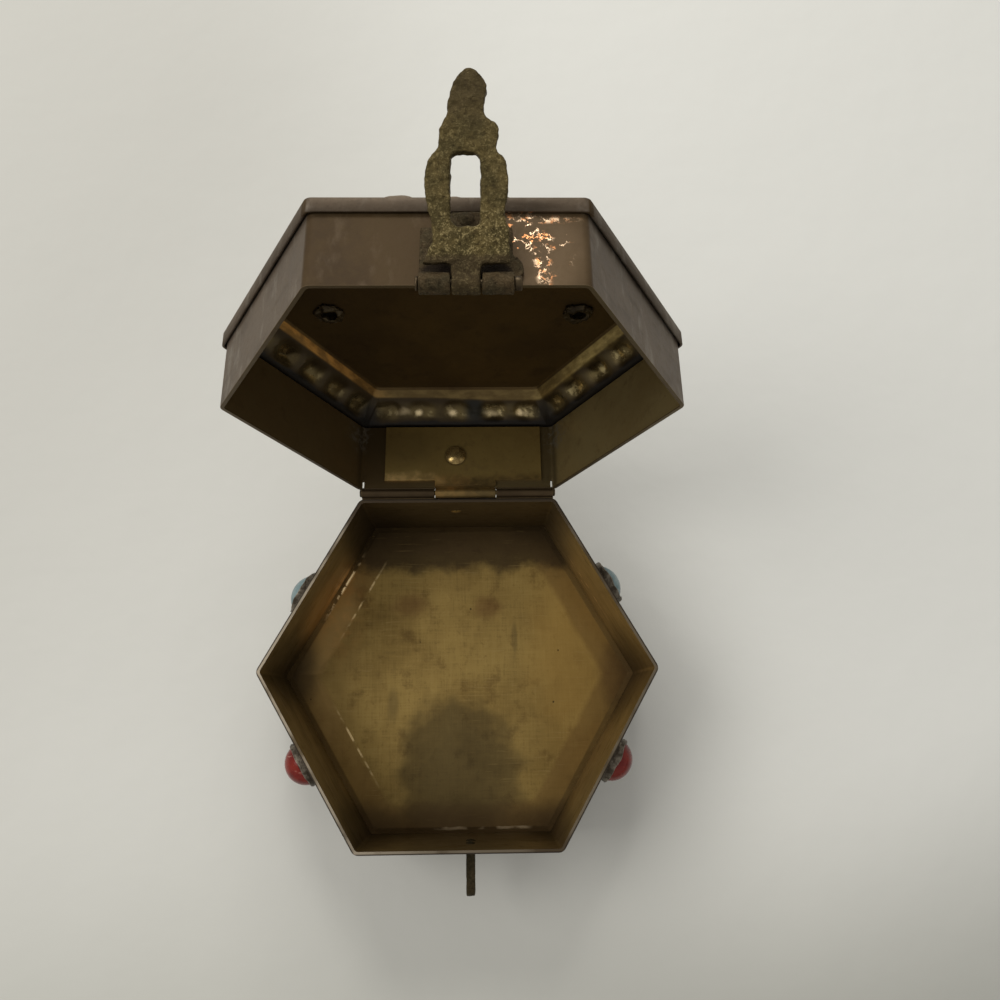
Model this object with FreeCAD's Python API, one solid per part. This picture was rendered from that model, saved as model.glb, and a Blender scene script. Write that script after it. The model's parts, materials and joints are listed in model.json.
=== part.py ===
import FreeCAD
import Part
import math
import os

# Hexagonal sheet-brass box with a hinged lid, a hasp and staple, and stones in cups.
# Millimetres, +Z up. The origin is the centre of the underside, the hinge is at +Y and the
# hasp at -Y. The lid is modelled shut in its own heights, counted from its rim, and then
# turned open, which is the pose at rest.

Vec = FreeCAD.Vector

# Hexagon shared by the box and the lid
side = 55.0
wall_sheet = 0.95
corner_radius = 2.2

# Box
box_height = 41.0
base_sheet = 0.9
base_drop = 1.0
base_border = 9.4814
base_slope_run = 2.2
solder_run = 1.1
solder_rise = 1.0

# Lid
lid_open_angle = 101.2
lid_gap = 0.25
cap_sheet = 1.0
skirt_height = 3.3
shoulder_height = 20.3
moulding_foot_inset = 1.1
moulding_run = 5.4
moulding_rise = 4.3
riser_run = 1.9
riser_rise = 4.0
cap_inset_share = 0.7
panel_corner_radius = 1.6

# Pressed oval beads along the sloping moulding
bead_count = 5
bead_radius = 3.45
bead_sink = 2.15
bead_gap = 0.25

# Lid hinge
hinge_sheet = 0.75
hinge_pin_radius = 0.7
pin_fit = 0.05
hinge_end_gap = 0.5
moving_gap = 0.25
tab_width = 17.0
tab_shift = 2.2
box_leaf_drop = 18.0
box_leaf_shoulder = 0.3
lid_leaf_left_gap = 6.55
lid_leaf_right_gap = 3.35
lid_leaf_bottom = 2.35
lid_leaf_top_gap = 0.3
pin_head_radius = 1.15
pin_head_length = 0.5
slit_width = 0.5
slit_height = 2.4
slit_inset = 0.35

# Hinge rivets
rivet_radius = 1.1
rivet_head_radius = 2.9
rivet_head_height = 1.1
rivet_tail_radius = 1.6
rivet_tail_height = 0.4
box_rivet_depth = 13.0
box_rivet_x = -0.8
lid_rivet_share = 0.46
lid_rivet_x = -0.5

# Hasp
hasp_x = 3.6
hasp_sheet = 1.2
hasp_pin_radius = 0.85
hasp_knuckle_radius = 2.1
hasp_pin_drop = 1.3
hasp_leaf_width = 18.0
hasp_knuckle_width = 5.5
hasp_tongue_width = 6.6
hasp_tongue_length = 3.9
hasp_tongue_gap = 0.3
hasp_pin_head_radius = 1.4
hasp_pin_head_length = 0.6
hasp_pin_burr_length = 1.5
hasp_rivet_radius = 0.9
hasp_rivet_head_radius = 1.7
hasp_rivet_head_height = 0.7
hasp_rivet_tail_radius = 1.4
hasp_rivet_drop = 1.8
hasp_ear_radius = 3.5
hasp_ear_reach = 2.0
hasp_ear_height = 3.1

# Hasp arm, lying in its own plane: x across, y along from the pin
arm_rise_angle = 28.0
arm_length = 38.85
arm_half_width = 8.2
arm_thickness = 2.2
arm_base_start = 3.6
arm_face_gap = 0.27
slot_start = 10.35
slot_end = 23.75
slot_width = 5.6
slot_corner = 1.5

# Staple
staple_thickness = 2.4
staple_shift = -0.6
staple_reach = 12.8
staple_height = 9.0
staple_depth = 16.4
staple_corner = 2.4
eye_radius = 2.5
eye_reach = 8.3
tail_radius = 1.0
tail_spacing = 5.2
tail_head_radius = 1.5
tail_head_height = 0.5

# Stones and their cups
cup_base_radius = 6.0
cup_lip_radius = 6.6
cup_height = 2.0
cup_floor = 0.8
cup_sheet = 0.55
coral_dome = 5.5
turquoise_dome = 3.7
stone_depth = 13.0
rear_left_stone_shift = 2.5
lid_stone_inset = 14.35
lid_stone_y = 2.0
tail_tube_radius = 2.6
tail_tube_bore = 1.9
tail_flare_radius = 4.0
tail_flare_height = 0.7

# One overrun for every cut
overrun = 5.0

# Derived places
cos30 = math.cos(math.radians(30))
tan30 = math.tan(math.radians(30))
apothem = side * cos30
inner_apothem = apothem - wall_sheet
base_panel_apothem = inner_apothem - base_border
inner_corner = corner_radius - wall_sheet
lid_rim_z = box_height + lid_gap
knuckle_radius = hinge_pin_radius + pin_fit + hinge_sheet
pivot_y = apothem + knuckle_radius + moving_gap
pivot_z = box_height + lid_gap / 2
hinge_width = side - 2 * hinge_end_gap
lid_leaf_left = lid_leaf_left_gap - inner_apothem * tan30
lid_leaf_right = inner_apothem * tan30 - lid_leaf_right_gap
lid_leaf_top = shoulder_height - cap_sheet - lid_leaf_top_gap
lid_rivet_height = lid_leaf_bottom + (lid_leaf_top - lid_leaf_bottom) * lid_rivet_share
tab_left = tab_shift - tab_width / 2
tab_right = tab_shift + tab_width / 2
tab_top = pivot_z + knuckle_radius - lid_rim_z
hasp_pin_y = -(apothem + hasp_knuckle_radius + moving_gap)
hasp_pin_z = -hasp_pin_drop
hasp_leaf_left = hasp_x - hasp_leaf_width / 2
hasp_leaf_right = hasp_x + hasp_leaf_width / 2
hasp_tongue_top = shoulder_height - skirt_height - hasp_tongue_gap
hasp_leaf_height = hasp_tongue_top - hasp_tongue_length
hasp_rivet_height = hasp_tongue_top - hasp_rivet_drop
arm_back = hasp_knuckle_radius + moving_gap - hasp_sheet - arm_face_gap
arm_front = arm_thickness - arm_back
knuckle_left = hasp_x - hasp_knuckle_width / 2
knuckle_right = hasp_x + hasp_knuckle_width / 2
skirt_apothem = apothem + cap_sheet
foot_apothem = apothem - moulding_foot_inset
ridge_apothem = foot_apothem - moulding_run
panel_apothem = ridge_apothem - riser_run
ridge_height = shoulder_height + moulding_rise
panel_height = ridge_height + riser_rise
cap_inset = cap_sheet * cap_inset_share
lid_stone_x = panel_apothem / cos30 - lid_stone_inset


def hexagon(flat, corner, z):
    """Closed wire of a hexagon with rounded corners; flat is centre to flat."""
    edges = []
    points = []
    for k in range(6):
        turn = math.radians(60 * k)
        out = Vec(math.cos(turn), math.sin(turn), 0)
        centre = out * ((flat - corner) / cos30)
        before = Vec(math.cos(turn - math.radians(30)), math.sin(turn - math.radians(30)), 0)
        after = Vec(math.cos(turn + math.radians(30)), math.sin(turn + math.radians(30)), 0)
        lift = Vec(0, 0, z)
        points.append([centre + before * corner + lift, centre + out * corner + lift,
                       centre + after * corner + lift])
    for k in range(6):
        start, middle, end = points[k]
        edges.append(Part.Arc(start, middle, end).toShape())
        edges.append(Part.LineSegment(end, points[(k + 1) % 6][0]).toShape())
    return Part.Wire(edges)


def frustum(flat_low, low, flat_high, high, corner):
    """Solid hexagon whose size changes from flat_low at z low to flat_high at z high."""
    wires = [hexagon(flat_low, corner, low), hexagon(flat_high, corner, high)]
    return Part.makeLoft(wires, True, True)


def prism(flat, corner, low, high):
    """Solid hexagonal prism from z low to z high."""
    return Part.Face(hexagon(flat, corner, low)).extrude(Vec(0, 0, high - low))


def block(x0, x1, y0, y1, z0, z1):
    """Box between two opposite corners."""
    return Part.makeBox(x1 - x0, y1 - y0, z1 - z0, Vec(x0, y0, z0))


def rod_x(radius, x0, x1, y, z):
    """Cylinder along X."""
    return Part.makeCylinder(radius, x1 - x0, Vec(x0, y, z), Vec(1, 0, 0))


def rod(radius, length, start, direction):
    """Cylinder from a point along a direction."""
    return Part.makeCylinder(radius, length, start, direction)


def placed(shape, point, direction):
    """A shape built on z = 0, moved to a point with its +Z along a direction."""
    moved = shape.copy()
    moved.Placement = FreeCAD.Placement(point, FreeCAD.Rotation(Vec(0, 0, 1), direction))
    return moved


def cap_arc(radius, base, rise):
    """Arc of a ball from a rim to the axis, rising from the base, with its two ends."""
    reach = abs(rise)
    ball = (radius ** 2 + reach ** 2) / (2 * reach)
    half = math.atan2(reach, radius)
    up = rise / reach
    rim = Vec(radius, 0, base)
    middle = Vec(ball * math.sin(half), 0, base + up * (reach - ball + ball * math.cos(half)))
    apex = Vec(0, 0, base + rise)
    return Part.Arc(rim, middle, apex).toShape(), rim, apex


def turned(low_rise, points, high_rise):
    """Round piece from a half profile of (radius, height) points along +Z.

    A rise that isn't zero puts a domed cap on that end; its radius is that of the end point.
    """
    first = points[0]
    last = points[-1]
    edges = []
    for here, there in zip(points, points[1:]):
        edges.append(Part.LineSegment(Vec(here[0], 0, here[1]),
                                      Vec(there[0], 0, there[1])).toShape())
    ends = []
    for point, rise in ((first, -low_rise), (last, high_rise)):
        if rise:
            edge, rim, apex = cap_arc(point[0], point[1], rise)
        else:
            rim = Vec(point[0], 0, point[1])
            apex = Vec(0, 0, point[1])
            edge = Part.LineSegment(rim, apex).toShape()
        edges.append(edge)
        ends.append(apex)
    edges.append(Part.LineSegment(ends[0], ends[1]).toShape())
    face = Part.Face(Part.Wire(Part.__sortEdges__(edges)))
    return face.revolve(Vec(0, 0, 0), Vec(0, 0, 1), 360)


def tail(shank_radius, head_radius, head_height, grip, start, direction):
    """Shank that starts flat and ends in a peened dome beyond the grip."""
    profile = [(shank_radius, 0), (shank_radius, grip), (head_radius, grip)]
    return placed(turned(0, profile, head_height), start, direction)


def rivet(shank_radius, head_radius, head_height, tail_radius, tail_height, grip, start, direction):
    """Rivet whose head sits at start; the shank runs on through the grip to the tail."""
    profile = [(head_radius, 0), (shank_radius, 0), (shank_radius, grip), (tail_radius, grip)]
    return placed(turned(head_height, profile, tail_height), start, direction)


def open_lid(shape):
    """Lift a lid shape from its own heights to the box and turn it open about the hinge."""
    moved = shape.copy()
    moved.translate(Vec(0, 0, lid_rim_z))
    moved.rotate(Vec(0, pivot_y, pivot_z), Vec(1, 0, 0), -lid_open_angle)
    return moved


def wall_direction(angle):
    """Outward direction of the wall at an angle, and the direction along that wall."""
    turn = math.radians(angle)
    return Vec(math.cos(turn), math.sin(turn), 0), Vec(-math.sin(turn), math.cos(turn), 0)


# Box wall, bottom and staple
staple_x = hasp_x + staple_shift
staple_z = box_height - staple_depth
box_rivet_z = box_height - box_rivet_depth


def make_box_wall():
    wall = prism(apothem, corner_radius, 0, box_height)
    wall = wall.cut(prism(inner_apothem, inner_corner, -overrun, box_height + overrun))
    holes = [rod(rivet_radius, wall_sheet + overrun, Vec(box_rivet_x, inner_apothem - overrun / 2,
                                                         box_rivet_z), Vec(0, 1, 0))]
    for step in (-1, 1):
        start = Vec(staple_x, -inner_apothem + overrun / 2, staple_z + step * tail_spacing / 2)
        holes.append(rod(tail_radius, wall_sheet + overrun, start, Vec(0, -1, 0)))
    return wall.cut(holes)


def make_box_base():
    top = base_drop + base_sheet
    slope_out = base_panel_apothem + base_slope_run
    body = prism(inner_apothem, inner_corner, 0, top)
    pocket = frustum(base_panel_apothem, base_sheet, slope_out, top, panel_corner_radius)
    under = prism(inner_apothem - base_sheet, inner_corner, -overrun, base_drop)
    foot = frustum(base_panel_apothem + base_sheet, 0, slope_out + base_sheet, base_drop,
                   panel_corner_radius)
    under = under.cut(foot)
    solder_out = inner_apothem - solder_run
    solder = prism(inner_apothem, inner_corner, top, top + solder_rise)
    solder = solder.cut(frustum(solder_out, top, inner_apothem, top + solder_rise, inner_corner))
    return body.cut([pocket, under]).fuse(solder)


def make_staple():
    root = -apothem
    tip = root - staple_reach
    low = staple_z - staple_height / 2
    high = staple_z + staple_height / 2
    left = staple_x - staple_thickness / 2
    plate = block(left, left + staple_thickness, tip, root, low, high)
    corners = [e for e in plate.Edges
               if abs(e.Vertexes[0].Y - tip) < pin_fit and abs(e.Vertexes[1].Y - tip) < pin_fit
               and abs(e.Vertexes[0].Z - e.Vertexes[1].Z) < pin_fit]
    plate = plate.makeFillet(staple_corner, corners)
    eye = rod_x(eye_radius, left - overrun, left + staple_thickness + overrun,
                root - eye_reach, staple_z)
    plate = plate.cut(eye)
    tails = []
    for step in (-1, 1):
        start = Vec(staple_x, root, staple_z + step * tail_spacing / 2)
        tails.append(tail(tail_radius, tail_head_radius, tail_head_height, wall_sheet, start,
                          Vec(0, 1, 0)))
    return plate.fuse(tails)


# Hinge
def make_box_hinge_leaf():
    left = -hinge_width / 2
    right = hinge_width / 2
    plate = block(left, right, apothem, apothem + hinge_sheet, box_height - box_leaf_drop,
                  pivot_z - box_leaf_shoulder)
    notch = block(tab_left - moving_gap, tab_right + moving_gap, apothem - overrun,
                  apothem + overrun, pivot_z - knuckle_radius - moving_gap, pivot_z + overrun)
    plate = plate.cut(notch)
    barrels = [rod_x(knuckle_radius, left, tab_left - moving_gap, pivot_y, pivot_z),
               rod_x(knuckle_radius, tab_right + moving_gap, right, pivot_y, pivot_z)]
    leaf = plate.fuse(barrels)
    bore = rod_x(hinge_pin_radius + pin_fit, left - overrun, right + overrun, pivot_y, pivot_z)
    hole = rod(rivet_radius, hinge_sheet + overrun,
               Vec(box_rivet_x, apothem - overrun / 2, box_rivet_z), Vec(0, 1, 0))
    return leaf.cut([bore, hole])


def make_box_hinge_rivet():
    start = Vec(box_rivet_x, apothem + hinge_sheet, box_rivet_z)
    return rivet(rivet_radius, rivet_head_radius, rivet_head_height, rivet_tail_radius,
                 rivet_tail_height, hinge_sheet + wall_sheet, start, Vec(0, -1, 0))


def make_hinge_pin():
    reach = hinge_width / 2 + pin_fit
    shank = rod_x(hinge_pin_radius, -reach, reach, pivot_y, pivot_z)
    heads = [rod_x(pin_head_radius, -reach - pin_head_length, -reach, pivot_y, pivot_z),
             rod_x(pin_head_radius, reach, reach + pin_head_length, pivot_y, pivot_z)]
    return shank.fuse(heads)


def make_lid_hinge_leaf():
    inner = inner_apothem - hinge_sheet
    tab_under = tab_top - hinge_sheet
    axis_z = pivot_z - lid_rim_z
    plate = block(lid_leaf_left, lid_leaf_right, inner, inner_apothem, lid_leaf_bottom,
                  lid_leaf_top)
    drop = block(tab_left, tab_right, inner, inner_apothem, tab_under, lid_leaf_bottom)
    run = block(tab_left, tab_right, inner, pivot_y, tab_under, tab_top)
    barrel = rod_x(knuckle_radius, tab_left, tab_right, pivot_y, axis_z)
    leaf = plate.fuse([drop, run, barrel])
    bore = rod_x(hinge_pin_radius + pin_fit, tab_left - overrun, tab_right + overrun,
                 pivot_y, axis_z)
    hole = rod(rivet_radius, hinge_sheet + overrun,
               Vec(lid_rivet_x, inner - overrun / 2, lid_rivet_height), Vec(0, 1, 0))
    return leaf.cut([bore, hole])


def make_lid_hinge_rivet():
    start = Vec(lid_rivet_x, inner_apothem - hinge_sheet, lid_rivet_height)
    return rivet(rivet_radius, rivet_head_radius, rivet_head_height, rivet_tail_radius,
                 rivet_tail_height, hinge_sheet + wall_sheet, start, Vec(0, 1, 0))


# Lid
def make_lid_wall():
    top = shoulder_height - cap_sheet
    wall = prism(apothem, corner_radius, 0, top)
    wall = wall.cut(prism(inner_apothem, inner_corner, -overrun, top + overrun))
    cuts = [block(tab_left, tab_right, inner_apothem - overrun, apothem + overrun, -overrun,
                  tab_top)]
    slit = hinge_width / 2 - slit_inset
    for x in (-slit, slit - slit_width):
        cuts.append(block(x, x + slit_width, inner_apothem - overrun, apothem + overrun,
                          -overrun, slit_height))
    cuts.append(rod(rivet_radius, wall_sheet + overrun,
                    Vec(lid_rivet_x, inner_apothem - overrun / 2, lid_rivet_height),
                    Vec(0, 1, 0)))
    cuts.append(rod(hasp_rivet_radius, wall_sheet + overrun,
                    Vec(hasp_x, overrun / 2 - inner_apothem, hasp_rivet_height),
                    Vec(0, -1, 0)))
    return wall.cut(cuts)


def bead(radius, half_length, x, turn):
    """Oval bead with round ends, lying along one side of the moulding."""
    straight = half_length - radius
    shape = rod_x(radius, -straight, straight, 0, 0)
    shape = shape.fuse([Part.makeSphere(radius, Vec(end, 0, 0)) for end in (-straight, straight)])
    shape = shape.removeSplitter()
    slope = math.hypot(moulding_run, moulding_rise)
    middle = (foot_apothem + ridge_apothem) / 2 - bead_sink * moulding_rise / slope
    height = (shoulder_height + ridge_height) / 2 - bead_sink * moulding_run / slope
    shape.translate(Vec(x, middle, height))
    shape.rotate(Vec(0, 0, 0), Vec(0, 0, 1), turn)
    return shape


def bead_row(shrink):
    """Every bead of the border, each made smaller all round by shrink."""
    run = (foot_apothem + ridge_apothem) / 2 / cos30
    pitch = run / bead_count
    half_length = (pitch - bead_gap) / 2
    beads = []
    for k in range(6):
        for i in range(bead_count):
            x = (i + 0.5) * pitch - run / 2
            beads.append(bead(bead_radius - shrink, half_length - shrink, x, 60 * k))
    return beads


def make_lid_cap():
    outer = prism(skirt_apothem, corner_radius + cap_sheet, shoulder_height - skirt_height,
                  shoulder_height)
    slope = frustum(foot_apothem, shoulder_height, ridge_apothem, ridge_height,
                    panel_corner_radius)
    riser = frustum(ridge_apothem, ridge_height, panel_apothem, panel_height,
                    panel_corner_radius)
    outer = outer.fuse([slope, riser] + bead_row(0))
    wall_space = prism(apothem, corner_radius, shoulder_height - skirt_height - overrun,
                       shoulder_height - cap_sheet)
    slope_in = frustum(foot_apothem - cap_inset, shoulder_height - cap_sheet,
                       ridge_apothem - cap_inset, ridge_height - cap_sheet,
                       panel_corner_radius)
    riser_in = frustum(ridge_apothem - cap_inset, ridge_height - cap_sheet,
                       panel_apothem - cap_inset, panel_height - cap_sheet,
                       panel_corner_radius)
    inner = slope_in.fuse([riser_in] + bead_row(cap_sheet))
    cap = outer.cut(wall_space).cut(inner)
    holes = [rod(tail_tube_radius, cap_sheet + overrun,
                 Vec(x, lid_stone_y, panel_height - cap_sheet - overrun / 2), Vec(0, 0, 1))
             for x in (-lid_stone_x, lid_stone_x)]
    return cap.cut(holes)


# Hasp
def make_hasp_leaf():
    left = hasp_leaf_left
    right = hasp_leaf_right
    front = -apothem - hasp_sheet
    plate = block(left, right, front, -apothem, 0, hasp_leaf_height)
    hanging = block(left, right, front, -apothem - moving_gap, hasp_pin_z, 0)
    tongue = block(hasp_x - hasp_tongue_width / 2, hasp_x + hasp_tongue_width / 2, front,
                   -apothem, hasp_leaf_height, hasp_tongue_top)
    corners = [e for e in tongue.Edges
               if min(v.Z for v in e.Vertexes) > hasp_tongue_top - pin_fit
               and abs(e.Vertexes[0].X - e.Vertexes[1].X) < pin_fit]
    tongue = tongue.makeFillet(hasp_rivet_radius, corners)
    ear = rod(hasp_ear_radius, hasp_sheet,
              Vec(right + hasp_ear_reach - hasp_ear_radius, -apothem, hasp_ear_height),
              Vec(0, -1, 0))
    barrels = [rod_x(hasp_knuckle_radius, left, knuckle_left - moving_gap, hasp_pin_y, hasp_pin_z),
               rod_x(hasp_knuckle_radius, knuckle_right + moving_gap, right, hasp_pin_y,
                     hasp_pin_z)]
    leaf = plate.fuse([hanging, tongue, ear] + barrels)
    notch = block(knuckle_left - moving_gap, knuckle_right + moving_gap, front - overrun,
                  -apothem + overrun, -overrun, hasp_pin_z + hasp_knuckle_radius + moving_gap)
    bore = rod_x(hasp_pin_radius + pin_fit, left - overrun, right + overrun, hasp_pin_y,
                 hasp_pin_z)
    hole = rod(hasp_rivet_radius, hasp_sheet + overrun,
               Vec(hasp_x, overrun / 2 - apothem, hasp_rivet_height), Vec(0, -1, 0))
    return leaf.cut([notch, bore, hole])


def make_hasp_rivet():
    start = Vec(hasp_x, -apothem - hasp_sheet, hasp_rivet_height)
    return rivet(hasp_rivet_radius, hasp_rivet_head_radius, hasp_rivet_head_height,
                 hasp_rivet_tail_radius, rivet_tail_height, hasp_sheet + wall_sheet,
                 start, Vec(0, 1, 0))


def make_hasp_pin():
    left = hasp_leaf_left - pin_fit
    right = hasp_leaf_right + pin_fit
    shank = rod_x(hasp_pin_radius, left, right, hasp_pin_y, hasp_pin_z)
    heads = [rod_x(hasp_pin_head_radius, left - hasp_pin_head_length, left, hasp_pin_y,
                   hasp_pin_z),
             rod_x(hasp_pin_head_radius, right, right + hasp_pin_burr_length, hasp_pin_y,
                   hasp_pin_z)]
    return shank.fuse(heads)


# Outline of the arm from the base to the tip, as shares of its half width and its length
arm_right_shares = [(0.98, 0.262), (0.89, 0.35), (0.95, 0.418), (0.96, 0.505), (0.87, 0.583),
                    (0.7, 0.636), (0.76, 0.709), (0.66, 0.753), (0.47, 0.782), (0.43, 0.84),
                    (0.49, 0.913), (0.34, 0.973)]
arm_left_shares = [(0.78, 0.185), (0.76, 0.262), (0.82, 0.321), (0.91, 0.398), (0.92, 0.486),
                   (0.81, 0.583), (0.58, 0.66), (0.59, 0.709), (0.44, 0.772), (0.39, 0.83),
                   (0.34, 0.893), (0.17, 0.963)]


def make_hasp_arm():
    """Arm built flat along the lid's front, then turned out by its angle at rest."""
    back = hasp_pin_y + arm_back

    def point(across, along):
        return Vec(hasp_x + across, back, hasp_pin_z + along)

    base_right = point(arm_half_width, arm_base_start)
    base_left = point(-arm_half_width, arm_base_start)
    right = [point(w * arm_half_width, h * arm_length) for w, h in arm_right_shares]
    left = [point(-w * arm_half_width, h * arm_length) for w, h in arm_left_shares]
    tip = point(0, arm_length)
    curve = Part.BSplineCurve()
    curve.interpolate(right + [tip] + left[::-1])
    edges = [Part.LineSegment(base_left, base_right).toShape(),
             Part.LineSegment(base_right, right[0]).toShape(), curve.toShape(),
             Part.LineSegment(left[0], base_left).toShape()]
    plate = Part.Face(Part.Wire(edges)).extrude(Vec(0, -arm_thickness, 0))
    neck = block(knuckle_left, knuckle_right, hasp_pin_y - arm_front, back, hasp_pin_z,
                 hasp_pin_z + arm_base_start)
    barrel = rod_x(hasp_knuckle_radius, knuckle_left, knuckle_right, hasp_pin_y, hasp_pin_z)
    slot = block(hasp_x - slot_width / 2, hasp_x + slot_width / 2, back - arm_thickness - overrun,
                 back + overrun, hasp_pin_z + slot_start, hasp_pin_z + slot_end)
    corners = [e for e in slot.Edges if abs(e.Vertexes[0].Y - e.Vertexes[1].Y) > arm_thickness]
    slot = slot.makeFillet(slot_corner, corners)
    bore = rod_x(hasp_pin_radius + pin_fit, knuckle_left - overrun, knuckle_right + overrun,
                 hasp_pin_y, hasp_pin_z)
    arm = plate.fuse([neck, barrel]).cut([slot, bore])
    arm.rotate(Vec(hasp_x, hasp_pin_y, hasp_pin_z), Vec(1, 0, 0), arm_rise_angle)
    return arm


# Stones
def cup_inside(height):
    """Radius inside the cup at a height above its base."""
    spread = (cup_lip_radius - cup_base_radius) / cup_height
    return cup_base_radius + spread * height - cup_sheet


def make_cup():
    """Cup on z = 0: a cone that widens to its lip, with a seat of the same slope."""
    cup = Part.makeCone(cup_base_radius, cup_lip_radius, cup_height)
    above = cup_height + overrun
    seat = Part.makeCone(cup_inside(cup_floor), cup_inside(above), above - cup_floor,
                         Vec(0, 0, cup_floor), Vec(0, 0, 1))
    return cup.cut(seat)


def make_stone(dome):
    """Cabochon on the floor of the cup, domed above the lip."""
    profile = [(cup_inside(cup_floor), cup_floor), (cup_inside(cup_height), cup_height)]
    return turned(0, profile, dome)


def make_cup_tail():
    """Tube under a cup of the lid: through the panel and flared inside."""
    grip = rod(tail_tube_radius, cap_sheet, Vec(0, 0, -cap_sheet), Vec(0, 0, 1))
    flare = Part.makeCone(tail_flare_radius, tail_tube_radius, tail_flare_height,
                          Vec(0, 0, -cap_sheet), Vec(0, 0, -1))
    bore = rod(tail_tube_bore, cap_sheet + overrun, Vec(0, 0, -cap_sheet - overrun),
               Vec(0, 0, 1))
    return grip.fuse(flare).cut(bore)


def on_box_wall(shape, angle, shift):
    """Put a shape on the box wall that faces an angle, moved along it by shift."""
    out, along = wall_direction(angle)
    point = out * apothem + along * shift + Vec(0, 0, box_height - stone_depth)
    return placed(shape, point, out)


def on_lid_top(shape, x):
    """Put a shape on the raised panel of the lid."""
    return placed(shape, Vec(x, lid_stone_y, panel_height), Vec(0, 0, 1))


cup = make_cup()
coral = make_stone(coral_dome)
turquoise = make_stone(turquoise_dome)
lid_cup = cup.fuse(make_cup_tail())

parts = {
    "box_wall": make_box_wall(),
    "box_base": make_box_base(),
    "box_hinge_leaf": make_box_hinge_leaf(),
    "box_hinge_rivet": make_box_hinge_rivet(),
    "hinge_pin": make_hinge_pin(),
    "staple": make_staple(),
}

walls = {"front_left": (210, 0), "front_right": (330, 0),
         "rear_left": (150, rear_left_stone_shift), "rear_right": (30, 0)}
for name, (angle, shift) in walls.items():
    parts["setting_" + name] = on_box_wall(cup, angle, shift)
    if name.startswith("front"):
        parts["coral_" + name] = on_box_wall(coral, angle, shift)
    else:
        parts["turquoise_" + name] = on_box_wall(turquoise, angle, shift)

lid_parts = {
    "lid_wall": make_lid_wall(),
    "lid_cap": make_lid_cap(),
    "lid_hinge_leaf": make_lid_hinge_leaf(),
    "lid_hinge_rivet": make_lid_hinge_rivet(),
    "lid_setting_left": on_lid_top(lid_cup, -lid_stone_x),
    "lid_setting_right": on_lid_top(lid_cup, lid_stone_x),
    "lid_stone_left": on_lid_top(coral, -lid_stone_x),
    "lid_stone_right": on_lid_top(coral, lid_stone_x),
    "hasp_leaf": make_hasp_leaf(),
    "hasp_rivet": make_hasp_rivet(),
    "hasp_pin": make_hasp_pin(),
    "hasp_arm": make_hasp_arm(),
}
for name, shape in lid_parts.items():
    parts[name] = open_lid(shape)

os.makedirs("parts", exist_ok=True)
for name, shape in parts.items():
    shape.exportStep("parts/" + name + ".step")
    print(name, "solids", len(shape.Solids), "valid", shape.isValid(),
          "volume", round(shape.Volume, 1))
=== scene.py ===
import json
import math

import bmesh
import bpy
from mathutils import Euler, Matrix, Vector, noise


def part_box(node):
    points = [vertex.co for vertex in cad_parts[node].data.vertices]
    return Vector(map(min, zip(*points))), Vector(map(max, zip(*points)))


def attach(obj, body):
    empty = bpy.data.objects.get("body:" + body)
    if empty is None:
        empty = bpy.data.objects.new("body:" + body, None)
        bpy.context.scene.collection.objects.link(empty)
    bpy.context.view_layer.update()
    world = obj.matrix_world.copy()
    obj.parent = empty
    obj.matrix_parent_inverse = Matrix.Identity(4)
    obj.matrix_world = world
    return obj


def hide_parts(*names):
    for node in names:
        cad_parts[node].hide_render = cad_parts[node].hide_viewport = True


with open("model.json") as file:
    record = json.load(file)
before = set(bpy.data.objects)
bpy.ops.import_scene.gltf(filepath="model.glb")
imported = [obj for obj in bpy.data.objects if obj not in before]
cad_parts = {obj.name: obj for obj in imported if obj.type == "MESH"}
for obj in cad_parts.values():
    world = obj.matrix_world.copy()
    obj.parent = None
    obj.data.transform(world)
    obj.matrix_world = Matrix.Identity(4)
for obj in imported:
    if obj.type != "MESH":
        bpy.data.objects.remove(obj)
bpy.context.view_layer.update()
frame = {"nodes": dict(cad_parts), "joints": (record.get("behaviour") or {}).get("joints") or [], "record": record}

# Lengths are in metres. A value written with MM, or inside mm(), is in millimetres on the object.
MM = 0.001
# A reach in mm that takes in the whole object
FAR = 1000

# Places taken from the CAD frame
wall_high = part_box("box_wall")[1]
apothem = wall_high.y
rim_z = wall_high.z
wall_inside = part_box("box_base")[1].y
joints = {joint["name"]: joint for joint in frame["joints"]}
hinge_at = Vector(joints["lid_hinge"]["pos_m"])
open_turn = math.radians(joints["lid_hinge"]["range_deg"][1])

# Turns a place on the open lid back to where it is with the lid shut
shut_turn = Matrix.Rotation(open_turn, 4, "X")
shut_shift = hinge_at - shut_turn @ hinge_at
shut = Matrix.Translation(shut_shift) @ shut_turn

# Directions from the middle of the box straight towards its three pairs of walls
wall_turns = [math.radians(turn) for turn in (90, 30, 150)]

# How far the pressed panel and the foot of the solder lie from the middle of the floor
panel_edge = 38.3 * MM
solder_foot = 45.5 * MM

# The middle of the hasp, and of the tubes of the two cups on the lid, in millimetres
hasp_x = 3.6
tail_x = 30.95
tail_y = 2


def mm(x, y, z=0):
    """A place, or a reach along each axis, in millimetres."""
    return Vector((x, y, z)) * MM


def on_lid(x, y, up):
    """A place on the shut lid, in millimetres, its height counted from the rim."""
    return mm(x, y, up) + Vector((0, 0, rim_z))


def on_lid_front(x, up):
    """A place on the front wall of the shut lid."""
    return Vector((x * MM, -apothem, rim_z + up * MM))


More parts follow.
